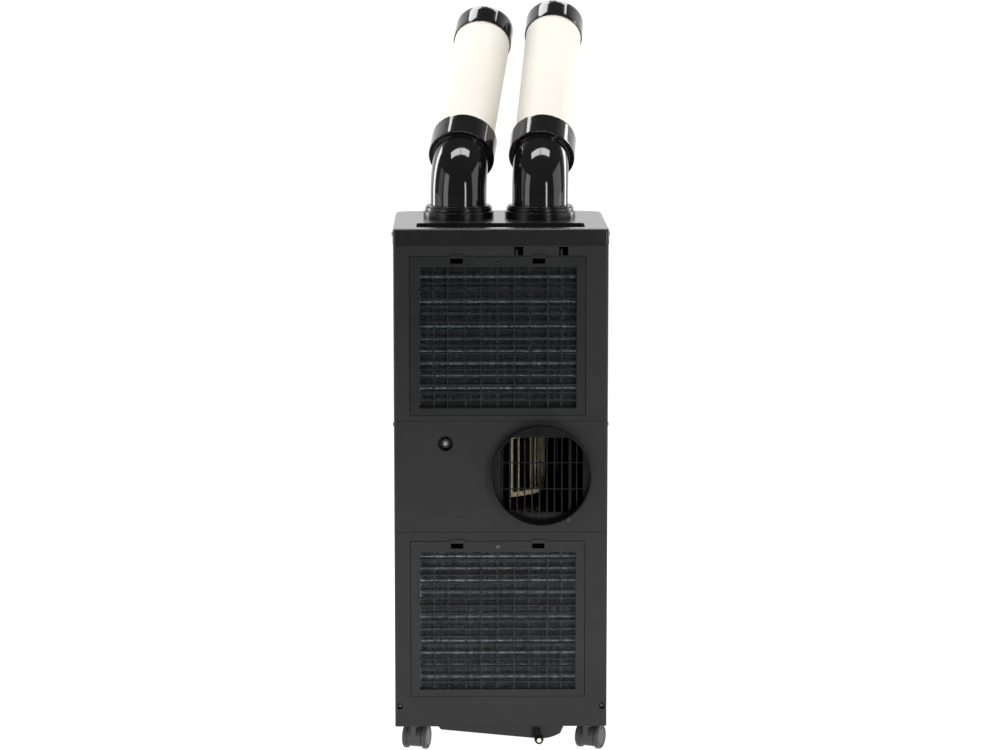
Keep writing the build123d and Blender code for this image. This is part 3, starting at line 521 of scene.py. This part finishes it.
def clip_ring_shape(nozzle):
    """A springy flat ring with a slit at the rear and its two ends turned down as small tabs."""
    base = TOP_Z + 22.1 * MM
    path = straight_path((nozzle.foot.x, nozzle.foot.y, base), (0, 0, 1), (0, 1, 0))
    outline = softened([(0, 66 * MM), (4 * MM, 66 * MM), (4 * MM, 58.3 * MM), (0, 58.3 * MM)], 1.2 * MM)
    shapes = [carried(outline, path)]
    for sign in (-1, 1):
        x = sorted((nozzle.foot.x + sign * 0.7 * MM, nozzle.foot.x + sign * 3.2 * MM))
        y = nozzle.foot.y + 65 * MM
        shapes.append(bar(x, (y, y + 6.6 * MM), (base - 3.4 * MM, base + 4.6 * MM)))
    return joined(*shapes)


def nozzles():
    both = [Nozzle("left"), Nozzle("right")]
    for nozzle in both:
        elbow(nozzle)
        tube(nozzle)
        end_ring(nozzle)
        base_collar(nozzle)
    rings = joined(*(clip_ring_shape(nozzle) for nozzle in both))
    obj = piece("nozzle_clip_rings_satin", *rings, "gloss_black", "cabinet", ["nozzle_clip_rings"],
                SATIN_BLACK)
    rounded_edges(obj, 0.4 * MM)


# ---------------------------------------------------------------- filters, coils, fans
NET_PITCH = 2.6 * MM
NET_WIRE = 0.45 * MM


def net(level):
    """The filter: a moulded frame with ribs, and a real net of crossing threads behind them."""
    low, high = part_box(level + "_filter")
    body = level + "_intake"
    rim = 6 * MM
    y = (low.y, high.y)
    shapes = [
        bar((low.x, high.x), y, (low.z, low.z + rim)), bar((low.x, high.x), y, (high.z - rim, high.z)),
        bar((low.x, low.x + rim), y, (low.z + rim, high.z - rim)),
        bar((high.x - rim, high.x), y, (low.z + rim, high.z - rim))]
    centre = (low + high) / 2
    pitch = 64 * MM
    rib = 1.3 * MM
    for step in (-2, -1, 0, 1, 2):
        x = centre.x + step * pitch
        shapes.append(bar((x - rib, x + rib), y, (low.z + rim, high.z - rim)))
    level_rib = 2 * MM
    set_back_y = (low.y, high.y - 0.4 * MM)
    for step in (-1.5, -0.5, 0.5, 1.5):
        z = centre.z + step * pitch
        shapes.append(bar((low.x + rim, high.x - rim), set_back_y, (z - level_rib, z + level_rib)))
    shapes += threads(low, high, rim)
    piece(level + "_filter_net", *joined(*shapes), "filter_mesh", body, [level + "_filter"])


def latch_hole_shades(level):
    """Near-black sheets inside the grille's two finger holes, below its latch tabs: painted shade that makes the
    holes read dark.
    """
    low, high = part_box(level + "_grille")
    hole_x = 82 * MM
    half_width = 12.4 * MM
    tab_rise = 3.6 * MM
    back = low.y + 2.05 * MM
    front = low.y + 9.4 * MM
    top_edge = high.z - tab_rise
    z = (top_edge - 14.5 * MM, top_edge - 4.1 * MM)
    skin = 0.5 * MM
    shapes = []
    for x in ((low.x + high.x) / 2 - hole_x, (low.x + high.x) / 2 + hole_x):
        left, right = x - half_width, x + half_width
        shapes.append(bar((left, right), (back, back + skin), z))
        shapes.append(bar((left, left + skin), (back, front), z))
        shapes.append(bar((right - skin, right), (back, front), z))
        shapes.append(bar((left, right), (back, front), (z[0], z[0] + skin)))
    piece(level + "_latch_hole_shades", *joined(*shapes), "grille_plastic", level + "_intake",
          finish=POCKET_SHADE)


def threads(low, high, rim):
    """Crossing threads, the upright ones just in front of the level ones."""
    shapes = []
    half = NET_WIRE / 2
    columns = int((high.x - low.x - 2 * rim) / NET_PITCH)
    for number in range(1, columns + 1):
        x = low.x + rim + number * NET_PITCH
        shapes.append(bar((x - half, x + half), (low.y + NET_WIRE, low.y + 2 * NET_WIRE),
                          (low.z + rim / 2, high.z - rim / 2)))
    rows = int((high.z - low.z - 2 * rim) / NET_PITCH)
    for number in range(1, rows + 1):
        z = low.z + rim + number * NET_PITCH
        shapes.append(bar((low.x + rim / 2, high.x - rim / 2), (low.y, low.y + NET_WIRE),
                          (z - half, z + half)))
    return shapes


def coil(name):
    """A heat exchanger: thin upright fins, two rows of level tubes through them, and two end plates."""
    low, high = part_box(name)
    fin_pitch = 2.2 * MM
    fin = 0.18 * MM
    tube_r = 4.6 * MM
    tube_pitch = 25 * MM
    end_plate = 4 * MM
    shapes = []
    left, right = low.x + end_plate, high.x - end_plate
    for number in range(int((right - left) / fin_pitch)):
        x = left + number * fin_pitch
        wave = 0.5 * MM * math.sin(number * 2.4)
        shapes.append(bar((x, x + fin), (low.y + 1 * MM, high.y - 1.5 * MM + wave), (low.z, high.z)))
    for x in (left, right):
        shapes.append(bar((x - 0.8 * MM, x + 0.8 * MM), (low.y, high.y), (low.z, high.z)))
    row_y = (high.y - 7 * MM, high.y - 24 * MM)
    width = high.x - low.x
    tip_r = 0.01 * MM
    profile = [(0, tip_r), (0, tube_r), (width, tube_r), (width, tip_r)]
    for number in range(int((high.z - low.z) / tube_pitch)):
        for row, y in enumerate(row_y):
            z = low.z + (number + 0.35 + 0.4 * row) * tube_pitch
            path = straight_path((low.x, y, z), (1, 0, 0), (0, 1, 0))
            shapes.append(carried([Vector(point) for point in profile], path, 14))
    piece(name + "_fins", *joined(*shapes), "coil", "cabinet", [name])


def impeller(name, blades):
    """A squirrel-cage fan wheel: slanted blades between two rings, a hub plate, and a dark cup inside."""
    low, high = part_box(name)
    centre = Vector(((low.x + high.x) / 2, (low.y + high.y) / 2, 0))
    outer = (high.x - low.x) / 2
    chord = 10 * MM
    inner = outer - chord
    path = straight_path(centre, (0, 0, 1), (1, 0, 0))
    gap = 4 * MM
    cup_z = (low.z + gap, high.z - gap)
    cup_r = (30 * MM, inner - gap)
    cup = softened([(cup_z[0], cup_r[0]), (cup_z[1], cup_r[0]),
                    (cup_z[1], cup_r[1]), (cup_z[0], cup_r[1])], 3 * MM)
    piece(name + "_cup", *carried(cup, path, 64), "dark_plastic", "blower_rotor")
    shapes = []
    bottom_ring, top_ring = 9.5 * MM, 1.6 * MM
    for z, height in ((low.z, bottom_ring), (high.z - top_ring, top_ring)):
        shapes.append(carried(softened([(z, outer), (z + height, outer), (z + height, inner),
                                        (z, inner)], 1.4 * MM), path))
    hub, shaft = 12 * MM, 6.1 * MM
    plate_top, hub_top = low.z + 3 * MM, low.z + 24 * MM
    plate = [(low.z, inner), (plate_top, inner), (plate_top, hub + 10 * MM),
             (hub_top, hub), (hub_top, shaft), (low.z, shaft)]
    shapes.append(carried(softened(plate, 1 * MM), path))
    for number in range(blades):
        shapes.append(blade(centre, outer - 1 * MM, chord - 2 * MM, number * 2 * math.pi / blades,
                            (low.z + 2 * MM, high.z - 2 * MM)))
    piece(name + "_blades", *joined(*shapes), "impeller", "blower_rotor", [name])


def blade(centre, outer, chord, angle, z):
    """One thin slanted blade, closed on every side."""
    steps = 6
    thickness = 1.5 * MM
    slant = 0.06
    verts, faces = [], []
    for step in range(steps + 1):
        t = step / steps
        radius = outer - chord * (1 - t)
        sweep = angle - slant * t
        out = Vector((math.cos(sweep), math.sin(sweep), 0))
        side = Vector((-out.y, out.x, 0))
        for offset in (-thickness / 2, thickness / 2):
            for height in z:
                verts.append(centre + out * radius + side * offset + Vector((0, 0, height)))
    for step in range(steps):
        a, b = step * 4, step * 4 + 4
        faces += [(a, a + 1, b + 1, b), (a + 2, b + 2, b + 3, a + 3)]
        faces += [(a, b, b + 2, a + 2), (a + 1, a + 3, b + 3, b + 1)]
    last = steps * 4
    faces += [(0, 2, 3, 1), (last, last + 1, last + 3, last + 2)]
    return verts, faces


# ---------------------------------------------------------------- carried CAD nodes
ROUNDING = {
    "cabinet": 0.5 * MM, "top_cover": 0.8 * MM, "grille_plastic": 0.35 * MM, "dark_plastic": 0.35 * MM,
    "caster_grey": 0.6 * MM, "button_grey": 0.3 * MM, "gloss_black": 0.4 * MM, "drain_black": 0.4 * MM,
}
NODE_ROUNDING = {"exhaust_collar": 0.9 * MM}
NODE_FINISH = {"exhaust_collar": SATIN_BLACK}


def dress_cad_nodes():
    """Gives every carried CAD node its slot's material, and real rounded edges where they show."""
    slots = {part["node"]: part["material_slot"] for part in frame["record"]["subparts"]}
    for name, node in frame["nodes"].items():
        slot = slots[name]
        node.data.materials.clear()
        node.data.materials.append(NODE_FINISH.get(name, MATERIALS[slot]))
        if not node.hide_render:
            rounded_edges(node, NODE_ROUNDING.get(name, ROUNDING.get(slot, 0)))


# ---------------------------------------------------------------- stage, lights and camera
def studio_floor():
    """A pale floor with a painted glow: it glows strongly up to 0.9 m along +Y and only faintly past 2.8 m, bright
    enough to fade into the background.
    """
    half = 60.0
    mesh = bpy.data.meshes.new("studio_floor")
    corners = [(-half, -half, 0), (half, -half, 0), (half, half, 0), (-half, half, 0)]
    mesh.from_pydata(corners, [], [(0, 1, 2, 3)])
    floor = bpy.data.objects.new("studio_floor", mesh)
    s = Shader("studio_floor")
    s.colour(s.blend(s.noise(0.4), (0.24, 0.24, 0.24), (0.26, 0.26, 0.26)))
    split = s.add("ShaderNodeSeparateXYZ")
    s.wire(s.place, split, 0)
    # Painted light: the floor's own glow, strong under and beyond the object as the camera sees it, faint on the
    # camera's side.
    s.wire(s.remap(split.outputs["Y"], 0.95, 0.10, 0.9, 2.8), s.surface, "Emission Strength")
    s.fixed(Roughness=0.6, Specular_IOR_Level=0.0, Emission_Color=(1, 1, 1, 1))
    mesh.materials.append(s.material)
    COLLECTION.objects.link(floor)


def soft_world():
    """A bright backdrop low in front of the object, and a dim room everywhere else."""
    world = bpy.data.worlds.new("studio")
    world.use_nodes = True
    bpy.context.scene.world = world
    tree = world.node_tree
    tree.nodes["Background"].inputs["Color"].default_value = (1, 1, 1, 1)
    place = tree.nodes.new("ShaderNodeTexCoord")
    facing = tree.nodes.new("ShaderNodeVectorMath")
    facing.operation = "DOT_PRODUCT"
    facing.inputs[1].default_value = (0, -0.98, -0.17)
    fade = tree.nodes.new("ShaderNodeMapRange")
    fade.interpolation_type = "SMOOTHSTEP"
    for socket, value in (("From Min", 0.15), ("From Max", 0.65), ("To Min", 0.13), ("To Max", 1.3)):
        fade.inputs[socket].default_value = value
    tree.links.new(place.outputs["Generated"], facing.inputs[0])
    tree.links.new(facing.outputs["Value"], fade.inputs["Value"])
    tree.links.new(fade.outputs["Result"], tree.nodes["Background"].inputs["Strength"])


def softbox(name, place, aim, size, radiance):
    """A rectangular light of a given brightness, hidden from the camera."""
    light = bpy.data.lights.new(name, "AREA")
    light.shape = "RECTANGLE"
    light.size, light.size_y = size
    light.energy = math.pi * size[0] * size[1] * radiance
    obj = bpy.data.objects.new(name, light)
    obj.location = place
    obj.rotation_euler = (Vector(aim) - Vector(place)).to_track_quat("-Z", "Y").to_euler()
    obj.visible_camera = False
    COLLECTION.objects.link(obj)


def around_object(azimuth, distance, z):
    """A point round the object; azimuth 0 is straight behind it and 90 is towards +X."""
    angle = math.radians(azimuth)
    return (distance * math.sin(angle), distance * math.cos(angle), z)


def studio_lights():
    """Softboxes all round; left and right in their names are the camera's."""
    aim = (0, 0, 1.1)
    softbox("broad_left", around_object(54, 3.2, 1.45), aim, (1.1, 2.6), 2.9)
    softbox("strip_right", around_object(-26, 3.2, 1.2), aim, (0.3, 2.0), 12.0)
    softbox("rim_left", around_object(119, 3.0, 1.6), aim, (0.62, 2.8), 10.0)
    softbox("rim_right", around_object(-124, 3.0, 1.5), aim, (0.55, 2.6), 9.0)
    softbox("wall_left", around_object(80, 3.4, 1.5), aim, (1.2, 2.6), 0.9)
    softbox("wall_right", around_object(-76, 3.4, 1.5), aim, (2.4, 2.6), 1.7)
    softbox("low_bounce", (0, 1.5, 0.1), (0, 0.3, 0.1), (2.4, 0.16), 4.0)
    for side, sign in (("left", 1), ("right", -1)):
        softbox("window_" + side, (sign * 0.78, 0.86, 3.6), (sign * 0.78, 0.1, 1.1), (1.5, 0.56), 12.0)
        softbox("overhead_" + side, (sign * 0.9, -1.62, 3.6), (sign * 0.9, -1.62, 0), (1.2, 0.9), 9.0)
    softbox("overhead_middle", (0, -1.62, 3.6), (0, -1.62, 0), (0.44, 0.9), 2.4)


def camera():
    """Behind the object, a little left of its middle and above its top, looking slightly down."""
    data = bpy.data.cameras.new("camera")
    data.sensor_width = 36.0
    data.lens = 113.6
    data.clip_end = 200.0
    obj = bpy.data.objects.new("camera", data)
    obj.location = (0.087, REAR_Y + 6.25, 1.694)
    yaw, pitch = math.radians(0.78), math.radians(8.29)
    level = math.cos(pitch)
    ahead = Vector((-math.sin(yaw) * level, -math.cos(yaw) * level, -math.sin(pitch)))
    obj.rotation_euler = ahead.to_track_quat("-Z", "Y").to_euler()
    COLLECTION.objects.link(obj)
    bpy.context.scene.camera = obj


bpy.context.scene.view_settings.view_transform = "Standard"
camera()
studio_floor()
soft_world()
studio_lights()
nozzles()
for intake in ("upper", "lower"):
    net(intake)
    latch_hole_shades(intake)
coil("evaporator_coil")
coil("condenser_coil")
impeller("condenser_impeller", 48)
impeller("evaporator_impeller", 36)
dress_cad_nodes()
